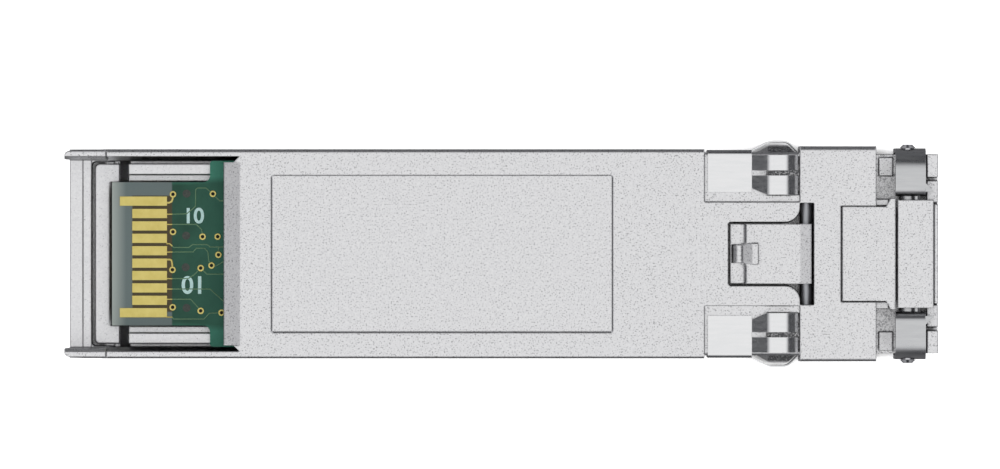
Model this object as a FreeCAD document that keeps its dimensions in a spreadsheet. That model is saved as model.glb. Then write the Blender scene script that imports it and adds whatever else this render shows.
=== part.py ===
import FreeCAD, Part
import math
import os
import Sketcher

# Pluggable optical transceiver module, lying on its top cover with the latch side up (+Z).
# The optical ports face +X and the host connector faces -X. The origin is in the middle of the
# footprint, at the crests of the spring fingers on which the module rests. All sizes are millimetres.

doc = FreeCAD.newDocument("transceiver_module")
sheet = doc.addObject("Spreadsheet::Sheet", "sizes")
nodes = []


class Size:
    """A length with its worth in millimetres and the sheet expression that gives it."""

    def __init__(self, value, text):
        self.value = value
        self.text = text

    def __add__(self, other):
        other = as_size(other)
        return Size(self.value + other.value, f"({self.text} + {other.text})")

    def __sub__(self, other):
        other = as_size(other)
        return Size(self.value - other.value, f"({self.text} - {other.text})")

    def __mul__(self, factor):
        return Size(self.value * factor, f"({self.text} * {factor})")

    def __truediv__(self, factor):
        return Size(self.value / factor, f"({self.text} / {factor})")

    def __neg__(self):
        return self * -1


def as_size(item):
    return item if isinstance(item, Size) else Size(float(item), repr(float(item)))


def size(alias, millimetres):
    """Writes one driving dimension into the sheet and hands it back as a Size."""
    size.row += 1
    sheet.set(f"A{size.row}", alias)
    sheet.set(f"B{size.row}", str(millimetres))
    sheet.setAlias(f"B{size.row}", alias)
    return Size(millimetres, f"sizes.{alias}")


size.row = 0
zero = as_size(0)

# Share of a half width taken by a rounding that makes a nearly full half round
full_round = 0.98

# Optical ports and the nose cast round them
port_pitch = size("port_pitch", 6.25)
port_width = size("port_width", 4.7)
port_height = size("port_height", 4.6)
port_depth = size("port_depth", 6.95)
port_roof = size("port_roof", 1.1)
port_floor = size("port_floor", 0.35)
bulkhead = size("bulkhead_thickness", 0.9)
latch_slot_width = size("plug_latch_slot_width", 2.4)
latch_slot_length = size("plug_latch_slot_length", 3.2)
nose_wall = size("nose_wall", 1.455)
nose_proud = size("nose_proud", 0.19)
nose_length = size("nose_length", 8.91)
nose_rounding = size("nose_rounding", 0.3)

# Overall length and heights
overall_length = size("overall_length", 56.3)
finger_proud = size("finger_proud", 0.45)
hub_rise = size("hub_rise", 1.0)
hub_depth = size("hub_depth", 1.45)
face_wall = size("face_wall", 0.8)
skirt_wall = size("skirt_wall", 0.46)
cover_wall = size("cover_wall", 0.7)
cover_floor_wall = size("cover_floor_wall", 0.7)
board_drop = size("board_drop", 2.25)
board_thickness = size("board_thickness", 1.0)
split_drop = size("split_drop", 0.7)
body_rounding = size("body_rounding", 0.25)

# Clearances
seat_gap = size("seat_gap", 0.02)
part_gap = size("part_gap", 0.05)
free_gap = size("free_gap", 0.1)
running_gap = size("running_gap", 0.04)

# Mouth at the host end, and the label recess
mouth_length = size("mouth_length", 10.26)
lug_length = size("lug_length", 2.72)
mouth_bevel = size("mouth_bevel", 1.09)
mouth_bevel_drop = size("mouth_bevel_drop", 0.36)
mouth_slot_width = size("mouth_slot_width", 0.38)
mouth_slot_length = size("mouth_slot_length", 0.64)
mouth_slot_point = size("mouth_slot_point", 0.39)
label_setback = size("label_setback", 3.06)
label_length = size("label_length", 22.03)
label_width = size("label_width", 10.18)
label_depth = size("label_depth", 0.12)
label_rounding = size("label_rounding", 0.15)
label_draft = size("label_draft", 0.07)

# Rear end of the cover
shoulder_setback = size("shoulder_setback", 0.26)
shoulder_length = size("shoulder_length", 0.84)
shoulder_step = size("shoulder_step", 0.12)
ledge_length = size("ledge_length", 0.55)
groove_length = size("groove_length", 0.26)
groove_depth = size("groove_depth", 1.6)
groove_end_wall = size("groove_end_wall", 0.07)
groove_end_width = size("groove_end_width", 0.18)
groove_rounding = size("groove_rounding", 0.3)
rib_length = size("rib_length", 1.2)
rib_rounding = size("rib_rounding", 0.35)
stop_length = size("stop_length", 0.34)
stop_ramp = size("stop_ramp", 0.5)
shoulder_drop = size("shoulder_drop", 2.0)
lug_wall = size("lug_wall", 0.64)
lug_taper = size("lug_taper", 0.12)
lug_rounding = size("lug_rounding", 0.3)
lug_recess = size("lug_recess", 0.35)
lug_edge = size("lug_edge", 0.14)
lug_chamfer = size("lug_chamfer", 0.2)
lug_chamfer_drop = size("lug_chamfer_drop", 0.4)
cover_chamfer = size("cover_chamfer", 0.28)
cover_chamfer_drop = size("cover_chamfer_drop", 0.65)
rail_setback = size("rail_setback", 4.1)
rail_end_gap = size("rail_end_gap", 1.04)
rail_width = size("rail_width", 0.67)
rail_gap = size("rail_gap", 0.5)
rail_foot = size("rail_foot", 0.45)
rail_foot_drop = size("rail_foot_drop", 1.0)
pedestal_setback = size("pedestal_setback", 6.44)
pedestal_length = size("pedestal_length", 4.0)
pedestal_width = size("pedestal_width", 4.4)
board_rib_width = size("board_rib_width", 0.5)
board_rib_inset = size("board_rib_inset", 0.15)
board_rib_setback = size("board_rib_setback", 5.0)
board_rib_end_gap = size("board_rib_end_gap", 1.88)

# Circuit board and its contact fingers
tongue_width = size("tongue_width", 9.24)
board_setback = size("board_setback", 3.04)
board_optics_gap = size("board_optics_gap", 4.69)
board_width = size("board_width", 12.0)
board_rounding = size("board_rounding", 0.45)
board_ear_length = size("board_ear_length", 0.9)
board_ear_rounding = size("board_ear_rounding", 0.2)
finger_pitch = size("finger_pitch", 0.8)
finger_width = size("finger_width", 0.6)
finger_offset = size("finger_offset", 0.2)
finger_thickness = size("finger_thickness", 0.035)
long_finger_setback = size("long_finger_setback", 0.5)
short_finger_setback = size("short_finger_setback", 1.3)
finger_front = size("finger_front", 3.55)

# Latch cavity, rocker and its pin
lock_setback = size("lock_setback", 2.68)
cavity_rear = size("cavity_rear", 1.94)
cavity_width = size("cavity_width", 4.12)
cavity_mouth_width = size("cavity_mouth_width", 6.56)
cavity_mouth_length = size("cavity_mouth_length", 0.9)
cavity_rounding = size("cavity_rounding", 1.0)
cavity_corner = size("cavity_corner", 0.15)
cavity_wall = size("cavity_wall", 0.3)
block_overlap = size("block_overlap", 0.75)
bridge_length = size("bridge_length", 1.76)
bridge_wall = size("bridge_wall", 0.7)
bridge_bevel = size("bridge_bevel", 0.05)
bridge_gap = size("bridge_gap", 0.06)
rocker_pin_setback = size("rocker_pin_setback", 0.41)
rocker_pin_radius = size("rocker_pin_radius", 0.42)
rocker_pin_drop = size("rocker_pin_drop", 1.4)
rocker_pin_reach = size("rocker_pin_reach", 0.65)
pin_wall_length = size("pin_wall_length", 0.4)
rocker_hub_radius = size("rocker_hub_radius", 0.7)
rocker_side_gap = size("rocker_side_gap", 0.13)
tongue_drop = size("tongue_drop", 0.13)
tongue_thickness = size("tongue_thickness", 1.05)
tongue_slope_drop = size("tongue_slope_drop", 0.21)
tongue_slope_gap = size("tongue_slope_gap", 0.13)
pad_length = size("pad_length", 0.9)
pad_drop = size("pad_drop", 0.6)
arm_drop = size("arm_drop", 1.2)
arm_thickness = size("arm_thickness", 0.53)
lock_post_height = size("lock_post_height", 0.45)
lock_post_length = size("lock_post_length", 1.12)
lock_post_flat = size("lock_post_flat", 0.36)
lock_post_width = size("lock_post_width", 1.36)
lock_post_draft = size("lock_post_draft", 0.13)
lock_post_lead = size("lock_post_lead", 0.1)
lock_post_ramp = size("lock_post_ramp", 0.24)
lock_rib_width = size("lock_rib_width", 1.16)
lock_rib_drop = size("lock_rib_drop", 0.12)
lock_rib_rounding = size("lock_rib_rounding", 0.5)
plate_width = size("plate_width", 6.1)
plate_drop = size("plate_drop", 0.1)
plate_thickness = size("plate_thickness", 0.85)
plate_slant = size("plate_slant", 0.4)
ear_width = size("ear_width", 0.53)
ear_length = size("ear_length", 0.3)
ear_flare = size("ear_flare", 0.3)
ear_depth = size("ear_depth", 1.41)
spring_thickness = size("spring_thickness", 0.12)
spring_width = size("spring_width", 1.8)
spring_foot = size("spring_foot", 1.1)
spring_rise = size("spring_rise", 1.6)
spring_lip = size("spring_lip", 0.6)

# Front bay, bail and its pin
bay_length = size("bay_length", 3.99)
bay_side = size("bay_side", 0.51)
bay_roof_cut = size("bay_roof_cut", 0.8)
bay_pad_gap = size("bay_pad_gap", 0.2)
bay_pad_length = size("bay_pad_length", 0.9)
bay_pad_width = size("bay_pad_width", 1.19)
bay_pad_height = size("bay_pad_height", 0.14)
cheek_length = size("cheek_length", 0.8)
cheek_width = size("cheek_width", 0.42)
bail_axis_setback = size("bail_axis_setback", 1.95)
bail_pin_radius = size("bail_pin_radius", 0.42)
bail_head_radius = size("bail_head_radius", 0.52)
bail_head_height = size("bail_head_height", 0.22)
bail_width = size("bail_width", 1.96)
bail_rear_reach = size("bail_rear_reach", 0.8)
bail_thickness = size("bail_thickness", 0.28)
bail_crossbar = size("bail_crossbar", 0.4)
bail_drop = size("bail_drop", 0.1)
bail_lift = size("bail_lift", 0.4)
bail_outer_bend = size("bail_outer_bend", 1.35)
bail_inner_bend = size("bail_inner_bend", 0.6)
bail_leg_inner = size("bail_leg_inner", 3.72)
bail_leg_drop = size("bail_leg_drop", 0.2)
bail_flare_width = size("bail_flare_width", 0.55)
bail_flare_reach = size("bail_flare_reach", 0.5)
cam_radius = size("cam_radius", 0.6)
cam_reach = size("cam_reach", 1.02)
cam_width = size("cam_width", 0.48)
cam_side_gap = size("cam_side_gap", 0.08)
lug_radius = size("lug_radius", 0.75)
lug_end_gap = size("lug_end_gap", 0.27)
anvil_width = size("anvil_width", 6.0)
anvil_cap_width = size("anvil_cap_width", 6.96)
anvil_cap_thickness = size("anvil_cap_thickness", 0.3)
anvil_front_gap = size("anvil_front_gap", 0.3)
anvil_gap = size("anvil_gap", 0.14)
post_length = size("post_length", 0.7)
post_width = size("post_width", 1.47)
post_drop = size("post_drop", 0.55)
post_notch = size("post_notch", 0.24)
sill_width = size("sill_width", 1.4)
sill_drop = size("sill_drop", 1.5)
lip_length = size("lip_length", 0.24)
lip_width = size("lip_width", 6.4)
lip_drop = size("lip_drop", 0.2)
lip_web_drop = size("lip_web_drop", 0.6)

# Spring collar
collar_band = size("collar_band", 6.15)
collar_setback = size("collar_setback", 0.21)
collar_plate = size("collar_plate", 2.84)
collar_sheet = size("collar_sheet", 0.12)
collar_bend = size("collar_bend", 0.32)
collar_inset = size("collar_inset", 0.04)
collar_floor_gap = size("collar_floor_gap", 0.04)
collar_corner = size("collar_corner", 0.14)
window_inner = size("window_inner", 3.34)
window_depth = size("window_depth", 0.35)
collar_flap_inner = size("collar_flap_inner", 3.97)
spring_finger_length = size("spring_finger_length", 2.98)
spring_finger_slope = size("spring_finger_slope", 1.15)
spring_finger_crest = size("spring_finger_crest", 1.2)
spring_finger_bow = size("spring_finger_bow", 0.8)
spring_finger_rise = size("spring_finger_rise", 0.61)
face_finger_outer = size("face_finger_outer", 6.37)
face_finger_width = size("face_finger_width", 1.0)
face_finger_slot = size("face_finger_slot", 0.32)
face_finger_inner_width = size("face_finger_inner_width", 1.24)
finger_taper_length = size("finger_taper_length", 0.96)
finger_taper_width = size("finger_taper_width", 0.41)
side_finger_width = size("side_finger_width", 1.2)
side_finger_pitch = size("side_finger_pitch", 1.75)
cover_finger_width = size("cover_finger_width", 1.3)
cover_finger_pitch = size("cover_finger_pitch", 2.1)
finger_well_setback = size("finger_well_setback", 0.96)
finger_well_depth = size("finger_well_depth", 0.5)
finger_stop_gap = size("finger_stop_gap", 0.2)
finger_stop_setback = size("finger_stop_setback", 0.35)
finger_stop_drop = size("finger_stop_drop", 0.7)
finger_stop_slope = size("finger_stop_slope", 0.95)

# Optical packages and their sleeves
can_radius = size("can_radius", 2.55)
can_length = size("can_length", 5.8)
can_header_length = size("can_header_length", 0.6)
can_header_proud = size("can_header_proud", 0.08)
can_shoulder = size("can_shoulder", 0.5)
sleeve_length = size("sleeve_length", 9.1)
sleeve_neck_radius = size("sleeve_neck_radius", 1.25)
sleeve_flange_radius = size("sleeve_flange_radius", 2.1)
sleeve_flange_length = size("sleeve_flange_length", 0.9)
sleeve_tip_radius = size("sleeve_tip_radius", 1.475)
sleeve_tip_reach = size("sleeve_tip_reach", 1.4)
ferrule_radius = size("ferrule_radius", 0.63)
ferrule_depth = size("ferrule_depth", 4.6)
clamp_length = size("clamp_length", 1.0)
flex_thickness = size("flex_thickness", 0.14)
flex_width = size("flex_width", 3.0)
flex_drop = size("flex_drop", 3.1)
flex_lap = size("flex_lap", 1.4)
flex_bend = size("flex_bend", 0.7)

# Board components
driver_side = size("driver_side", 5.0)
driver_height = size("driver_height", 0.85)
controller_side = size("controller_side", 4.0)
controller_height = size("controller_height", 0.8)
controller_setback = size("controller_setback", 12.5)
amplifier_side = size("amplifier_side", 3.0)
amplifier_setback = size("amplifier_setback", 13.14)
capacitor_length = size("capacitor_length", 1.0)
capacitor_width = size("capacitor_width", 0.5)
capacitor_height = size("capacitor_height", 0.5)
capacitor_pitch = size("capacitor_pitch", 1.3)
capacitor_setback = size("capacitor_setback", 12.28)
capacitor_column = size("capacitor_column", 4.9)
pad_thickness = size("pad_thickness", 0.45)
doc.recompute()

# Stations along the length
front = overall_length / 2
rear = -front
nose_start = front - nose_length
bay_start = front - bay_length
band_start = nose_start - collar_band
face_start = rear + mouth_length
skirt_start = rear + lug_length
lock_face = nose_start - lock_setback
rocker_pin_x = nose_start + rocker_pin_setback
bail_x = front - bail_axis_setback
bulkhead_front = front - port_depth
bulkhead_rear = bulkhead_front - bulkhead
cavity_start = lock_face - cavity_rear
cavity_end = nose_start + cavity_mouth_length
bridge_end = cavity_end + bridge_length
plate_start = bridge_end + bridge_gap
anvil_start = bail_x - bail_rear_reach + anvil_gap
plate_end = anvil_start - anvil_gap
sleeve_tip = bulkhead_front + sleeve_tip_reach
sleeve_back = sleeve_tip - sleeve_length
can_front = sleeve_back - seat_gap
can_back = can_front - can_length
board_end = can_back - board_optics_gap

# Levels above the rest plane
cover_face = finger_proud
cover_floor = cover_face + cover_floor_wall
port_z = cover_face + port_roof + port_height / 2
bay_floor = port_z + port_height / 2 + port_floor
bail_z = bay_floor + hub_rise
face = bail_z + hub_depth
board_near = face - board_drop
board_far = board_near - board_thickness
split = board_far - split_drop
cover_wall_top = split - part_gap
wall_under = face - face_wall
cavity_floor = bay_floor
rocker_pin_z = face - rocker_pin_drop
tongue_top = face - tongue_drop
tongue_under = tongue_top - tongue_thickness
plate_top = face - plate_drop
plate_under = plate_top - plate_thickness

# Half widths
port_y = port_pitch / 2
nose_half = port_y + port_width / 2 + nose_wall
body_half = nose_half - nose_proud
skirt_inner = body_half - skirt_wall
slot_inner = skirt_inner - mouth_slot_width
cover_inner = body_half - cover_wall
bay_half = nose_half - bay_side
bail_half = bay_half + free_gap + bail_thickness
cavity_half = cavity_width / 2
rocker_half = cavity_half - rocker_side_gap
tongue_half = tongue_width / 2


def new_body(label):
    body = doc.addObject("PartDesign::Body", label)
    body.Label = label
    nodes.append(body)
    return body


def origin_plane(body, role):
    return next(item for item in body.Origin.OriginFeatures if item.Role == role)


def new_sketch(body, name, role, level):
    """An empty sketch on one of the body's origin planes, lifted to a level along its normal."""
    sketch = body.newObject("Sketcher::SketchObject", f"{name}_outline")
    sketch.AttachmentSupport = [(origin_plane(body, role), "")]
    sketch.MapMode = "FlatFace"
    sketch.setExpression("AttachmentOffset.Base.z", level.text)
    return sketch


def pin_point(sketch, item, across, up):
    """Holds one sketch point at its distances from the origin."""
    for kind, place in (("DistanceX", across), ("DistanceY", up)):
        number = sketch.addConstraint(Sketcher.Constraint(kind, -1, 1, item, 1, place.value))
        sketch.setExpression(f"Constraints[{number}]", place.text)


def corner_cut(corner, before, after, radius):
    """Where a rounding of this radius leaves the two edges, and the middle of its circle."""
    to_before = (before - corner).normalize()
    to_after = (after - corner).normalize()
    half_turn = to_before.getAngle(to_after) / 2
    reach = radius / math.tan(half_turn)
    middle = corner + (to_before + to_after).normalize() * (radius / math.sin(half_turn))
    return corner + to_before * reach, corner + to_after * reach, middle


def draw_outline(sketch, points):
    """Draws a closed outline; a point is (across, up), or (across, up, radius) for a round corner."""
    corners = [FreeCAD.Vector(point[0].value, point[1].value, 0) for point in points]
    count = len(corners)
    cuts = []
    for number, point in enumerate(points):
        corner = corners[number]
        cut = (corner, corner, None)
        if len(point) == 3:
            cut = corner_cut(corner, corners[number - 1], corners[(number + 1) % count], point[2].value)
        cuts.append(cut)
    for number in range(count):
        line = Part.LineSegment(cuts[number][1], cuts[(number + 1) % count][0])
        sketch.addGeometry(line, False)
    for number, point in enumerate(points):
        line_in, line_out = (number - 1) % count, number
        if len(point) == 2:
            sketch.addConstraint(Sketcher.Constraint("Coincident", line_in, 2, line_out, 1))
            pin_point(sketch, line_out, point[0], point[1])
            continue
        draw_round_corner(sketch, point, corners[number], cuts[number], line_in, line_out)


def draw_round_corner(sketch, point, corner, cut, line_in, line_out):
    """Joins two edges by a tangent arc whose sharp corner stays where the outline has it."""
    start, end, middle = cut
    turns_left = (corner - start).cross(end - corner).z > 0
    first, last = (start, end) if turns_left else (end, start)
    angles = [math.atan2(spot.y - middle.y, spot.x - middle.x) for spot in (first, last)]
    circle = Part.Circle(middle, FreeCAD.Vector(0, 0, 1), point[2].value)
    arc = sketch.addGeometry(Part.ArcOfCircle(circle, angles[0], angles[1]), False)
    arc_in, arc_out = (1, 2) if turns_left else (2, 1)
    sketch.addConstraint(Sketcher.Constraint("Tangent", line_in, 2, arc, arc_in))
    sketch.addConstraint(Sketcher.Constraint("Tangent", line_out, 1, arc, arc_out))
    radius = sketch.addConstraint(Sketcher.Constraint("Radius", arc, point[2].value))
    sketch.setExpression(f"Constraints[{radius}]", point[2].text)
    mark = sketch.addGeometry(Part.Point(corner), True)
    sketch.addConstraint(Sketcher.Constraint("PointOnObject", mark, 1, line_in))
    sketch.addConstraint(Sketcher.Constraint("PointOnObject", mark, 1, line_out))
    pin_point(sketch, mark, point[0], point[1])


def draw_circle(sketch, across, up, radius):
    centre = FreeCAD.Vector(across.value, up.value, 0)
    ring = sketch.addGeometry(Part.Circle(centre, FreeCAD.Vector(0, 0, 1), radius.value), False)
    number = sketch.addConstraint(Sketcher.Constraint("Radius", ring, radius.value))
    sketch.setExpression(f"Constraints[{number}]", radius.text)
    for kind, place in (("DistanceX", across), ("DistanceY", up)):
        number = sketch.addConstraint(Sketcher.Constraint(kind, -1, 1, ring, 3, place.value))
        sketch.setExpression(f"Constraints[{number}]", place.text)


def prism(body, name, role, points, low, high, cut=False):
    """A straight-sided form or recess: a closed outline filled between two levels."""
    sketch, length = sketch_between(body, name, role, low, high, cut)
    draw_outline(sketch, points)
    extrude(body, name, sketch, length, cut)


def disc(body, name, role, across, up, radius, low, high, cut=False):
    """A round form or bore between two levels."""
    sketch, length = sketch_between(body, name, role, low, high, cut)
    draw_circle(sketch, across, up, radius)
    extrude(body, name, sketch, length, cut)


def sketch_between(body, name, role, low, high, cut):
    """The sketch from which a pad, or a pocket the other way, fills low to high."""
    if low.value > high.value:
        low, high = high, low
    if role == "XZ_Plane":
        level = -low if cut else -high
    else:
        level = high if cut else low
    return new_sketch(body, name, role, level), high - low


def extrude(body, name, sketch, length, cut):
    feature = body.newObject("PartDesign::Pocket" if cut else "PartDesign::Pad", name)
    feature.Profile = sketch
    feature.setExpression("Length", length.text)


def turned(body, name, points):
    """A turned form: a half section on the XY plane, spun round the X direction."""
    sketch = new_sketch(body, name, "XY_Plane", zero)
    draw_outline(sketch, points)
    feature = body.newObject("PartDesign::Revolution", name)
    feature.Profile = sketch
    feature.ReferenceAxis = (sketch, ["H_Axis"])
    feature.Angle = 360


def move_to(item, across, along, up):
    for name, place in (("x", across), ("y", along), ("z", up)):
        item.setExpression(f"Placement.Base.{name}", place.text)


def rectangle(low_across, high_across, low_up, high_up):
    return [(low_across, low_up), (high_across, low_up), (high_across, high_up), (low_across, high_up)]


def block(label, x_range, y_range, z_range):
    """A plain rectangular piece between two corners."""
    box = doc.addObject("Part::Box", label)
    box.Label = label
    for prop, span in (("Length", x_range), ("Width", y_range), ("Height", z_range)):
        box.setExpression(prop, (span[1] - span[0]).text)
    move_to(box, x_range[0], y_range[0], z_range[0])
    return box


def group(label, pieces):
    """Like pieces kept as one node of separate solids."""
    compound = doc.addObject("Part::Compound", label)
    compound.Label = label
    compound.Links = pieces
    nodes.append(compound)


# Base housing: latch-side casting with the nose, the latch cavity and the bail lugs
base = new_body("base_housing")
prism(base, "tray", "YZ_Plane", [
    (-body_half, split), (-body_half, face, body_rounding), (body_half, face, body_rounding),
    (body_half, split), (skirt_inner, split), (skirt_inner, wall_under),
    (-skirt_inner, wall_under), (-skirt_inner, split)], face_start, nose_start + part_gap)
for side, hand in ((1, "left"), (-1, "right")):
    prism(base, f"skirt_{hand}", "YZ_Plane", [
        (skirt_inner * side, split), (body_half * side, split),
        (body_half * side, face, body_rounding), (skirt_inner * side, face)], skirt_start, face_start)
prism(base, "mouth_bevel", "XZ_Plane", [
    (face_start, face - mouth_bevel_drop), (face_start + mouth_bevel, face), (face_start, face)],
    -slot_inner, slot_inner, cut=True)
slot_end = face_start + mouth_slot_length
for side, hand in ((1, "left"), (-1, "right")):
    prism(base, f"mouth_slot_{hand}", "XY_Plane", [
        (face_start - part_gap, slot_inner * side), (slot_end, slot_inner * side),
        (slot_end + mouth_slot_point, skirt_inner * side), (face_start - part_gap, skirt_inner * side)],
        wall_under, face, cut=True)
label_start = face_start + label_setback
label_half = label_width / 2
label_end = label_start + label_length
prism(base, "label_recess", "XY_Plane", [
    (label_start, -label_half, label_rounding), (label_end, -label_half, label_rounding),
    (label_end, label_half, label_rounding), (label_start, label_half, label_rounding)],
    face - label_depth, face, cut=True)
base.Tip.setExpression("TaperAngle", f"-atan({label_draft.text} / {label_depth.text})")

# Nose: full height up to the front bay, then stepped in for the bail
prism(base, "nose", "YZ_Plane", [
    (-nose_half, cover_face, nose_rounding), (nose_half, cover_face, nose_rounding),
    (nose_half, face, nose_rounding), (-nose_half, face, nose_rounding)], nose_start, bay_start)
prism(base, "front_section", "YZ_Plane", rectangle(
    -bay_half, bay_half, cover_face + bay_roof_cut, bay_floor), bay_start, front)
prism(base, "nose_chamber", "YZ_Plane", rectangle(
    -cover_inner, cover_inner, cover_floor, bay_floor - cavity_wall), nose_start, bulkhead_rear, cut=True)
for side, hand in ((1, "left"), (-1, "right")):
    prism(base, f"port_{hand}", "YZ_Plane", rectangle(
        port_y * side - port_width / 2, port_y * side + port_width / 2,
        port_z - port_height / 2, port_z + port_height / 2), bulkhead_front, front, cut=True)
    prism(base, f"plug_latch_slot_{hand}", "YZ_Plane", rectangle(
        port_y * side - latch_slot_width / 2, port_y * side + latch_slot_width / 2,
        cover_face, port_z), front - latch_slot_length, front, cut=True)
    disc(base, f"sleeve_hole_{hand}", "YZ_Plane", port_y * side, port_z, sleeve_tip_radius + part_gap,
         bulkhead_rear, bulkhead_front, cut=True)

# Latch block under the face, with the T-shaped cavity and the tunnel under the bridge bar
block_half = cavity_half + block_overlap
prism(base, "latch_block", "XY_Plane", rectangle(
    cavity_start - block_overlap, nose_start + part_gap, -block_half, block_half),
    cavity_floor - cavity_wall, wall_under)
prism(base, "pin_wall", "XY_Plane", rectangle(
    nose_start - pin_wall_length, nose_start + part_gap, -skirt_inner, skirt_inner),
    cavity_floor - cavity_wall, wall_under)
mouth_half = cavity_mouth_width / 2
prism(base, "latch_cavity", "XY_Plane", [
    (cavity_start, -cavity_half, cavity_corner), (nose_start, -cavity_half, cavity_rounding),
    (nose_start, -mouth_half),
    (cavity_end, -mouth_half), (cavity_end, mouth_half), (nose_start, mouth_half),
    (nose_start, cavity_half, cavity_rounding), (cavity_start, cavity_half, cavity_corner)],
    cavity_floor, face, cut=True)
prism(base, "bridge_tunnel", "XY_Plane", rectangle(
    cavity_end - part_gap, bridge_end + part_gap, -cavity_half, cavity_half),
    cavity_floor, face - bridge_wall, cut=True)
plate_half = plate_width / 2
plate_pocket_half = plate_half + part_gap
prism(base, "plate_pocket", "XY_Plane", rectangle(
    bridge_end, bay_start, -plate_pocket_half, plate_pocket_half), cavity_floor, face, cut=True)
prism(base, "bridge_bevel", "XZ_Plane", [
    (bridge_end - bridge_bevel, face), (bridge_end, face), (bridge_end, face - bridge_bevel)],
    -plate_pocket_half, plate_pocket_half, cut=True)
rocker_pin_end = mouth_half + rocker_pin_reach
disc(base, "rocker_pin_hole", "XZ_Plane", rocker_pin_x, rocker_pin_z, rocker_pin_radius + seat_gap,
     -rocker_pin_end, nose_half, cut=True)

# Front bay: anvil block with its cap, bail lugs, corner posts, sills, front lip, and low pads and cheeks
anvil_end = front - anvil_front_gap
anvil_half = anvil_width / 2
anvil_cap_half = anvil_cap_width / 2
cap_under = face - anvil_cap_thickness
prism(base, "anvil", "XY_Plane", rectangle(
    anvil_start, anvil_end, -anvil_half, anvil_half), bay_floor, cap_under)
prism(base, "anvil_cap", "XY_Plane", rectangle(
    anvil_start, anvil_end, -anvil_cap_half, anvil_cap_half), cap_under, face)
prism(base, "front_lip", "XY_Plane", rectangle(
    front - lip_length, front, -lip_width / 2, lip_width / 2), bay_floor, face - lip_drop)
prism(base, "lip_web", "XY_Plane", rectangle(
    anvil_end, front - lip_length, -anvil_half, anvil_half), bay_floor, face - lip_web_drop)
leg_outer = bail_leg_inner + bail_thickness
lug_inner = leg_outer + cam_side_gap
for side, hand in ((1, "left"), (-1, "right")):
    prism(base, f"bail_lug_{hand}", "XZ_Plane", [
        (bail_x - lug_radius, bay_floor), (bail_x + lug_radius, bay_floor),
        (bail_x + lug_radius, bail_z + lug_radius, lug_radius * full_round),
        (bail_x - lug_radius, bail_z + lug_radius, lug_radius * full_round)],
        lug_inner * side, (bay_half - lug_end_gap) * side)
    prism(base, f"corner_post_{hand}", "XY_Plane", rectangle(
        front - post_length, front, (bay_half - post_width) * side, bay_half * side),
        bay_floor, face - post_drop)
    prism(base, f"front_sill_{hand}", "XY_Plane", rectangle(
        front - post_length, front, (bay_half - post_width - post_notch) * side,
        (bay_half - post_width - post_notch - sill_width) * side), bay_floor, face - sill_drop)
    pad_outer = bay_half - bay_pad_gap
    prism(base, f"bay_pad_{hand}", "XY_Plane", rectangle(
        bay_start + bay_pad_gap, bay_start + bay_pad_gap + bay_pad_length,
        (pad_outer - bay_pad_width) * side, pad_outer * side), bay_floor, bay_floor + bay_pad_height)
    prism(base, f"plate_cheek_{hand}", "XY_Plane", rectangle(
        bay_start, bay_start + cheek_length, plate_pocket_half * side,
        (plate_pocket_half + cheek_width) * side), bay_floor, plate_under - free_gap)
disc(base, "bail_pin_hole", "XZ_Plane", bail_x, bail_z, bail_pin_radius + seat_gap,
     -bay_half, bay_half, cut=True)

# Ribs that hold the board down on the cover's rails
rib_outer = board_width / 2 - board_rib_inset
rib_start = face_start + board_rib_setback
for side, hand in ((1, "left"), (-1, "right")):
    prism(base, f"board_rib_{hand}", "XY_Plane", rectangle(
        rib_start, board_end - board_rib_end_gap, (rib_outer - board_rib_width) * side,
        rib_outer * side), board_near + seat_gap, wall_under)

# Recess round the base for the spring collar
collar_half = body_half - collar_inset
band_half = collar_half - collar_sheet - collar_floor_gap
window_floor = face - window_depth
for side, hand in ((1, "left"), (-1, "right")):
    prism(base, f"collar_window_{hand}", "XY_Plane", rectangle(
        band_start, nose_start, window_inner * side, nose_half * side), window_floor, face, cut=True)
    prism(base, f"collar_side_{hand}", "XY_Plane", rectangle(
        band_start, nose_start, band_half * side, nose_half * side), split, face, cut=True)
    prism(base, f"collar_corner_{hand}", "YZ_Plane", [
        (band_half * side, window_floor - collar_corner), (band_half * side, window_floor),
        ((band_half - collar_corner) * side, window_floor)], band_start, nose_start, cut=True)

# Wells under the crests of the face fingers
finger_root = band_start + collar_setback + collar_plate
finger_tip = finger_root + spring_finger_length
outer_edge = face_finger_outer - face_finger_width
inner_edge = outer_edge - face_finger_slot
finger_side = inner_edge - face_finger_inner_width
well_start = finger_root + finger_well_setback
well_floor = window_floor - finger_well_depth
for side, hand in ((1, "left"), (-1, "right")):
    prism(base, f"well_wall_{hand}", "XY_Plane", rectangle(
        well_start - cavity_wall, nose_start + part_gap, (finger_side - cavity_wall) * side,
        skirt_inner * side), well_floor - cavity_wall, wall_under)
    prism(base, f"finger_well_{hand}", "XY_Plane", rectangle(
        well_start, nose_start, finger_side * side, skirt_inner * side), well_floor, window_floor, cut=True)

# Sloped stops behind the collar's side fingers, which keep them from being bent too far
crest_start = finger_root + spring_finger_slope
crest_end = crest_start + spring_finger_crest
finger_stop_half = collar_half + spring_finger_rise - collar_sheet - finger_stop_gap
finger_stop_top = face - finger_stop_drop
for side, hand in ((1, "left"), (-1, "right")):
    prism(base, f"finger_stop_{hand}", "XY_Plane", [
        (finger_root + finger_stop_setback, (band_half - free_gap) * side),
        (finger_root + finger_stop_setback, band_half * side), (crest_start, finger_stop_half * side),
        (crest_end, finger_stop_half * side), (finger_tip - finger_stop_gap, band_half * side),
        (finger_tip - finger_stop_gap, (band_half - free_gap) * side)], split, finger_stop_top)
    prism(base, f"finger_stop_slope_{hand}", "YZ_Plane", [
        (band_half * side, finger_stop_top), (finger_stop_half * side, finger_stop_top),
        (finger_stop_half * side, finger_stop_top - finger_stop_slope)], finger_root, nose_start, cut=True)

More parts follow.
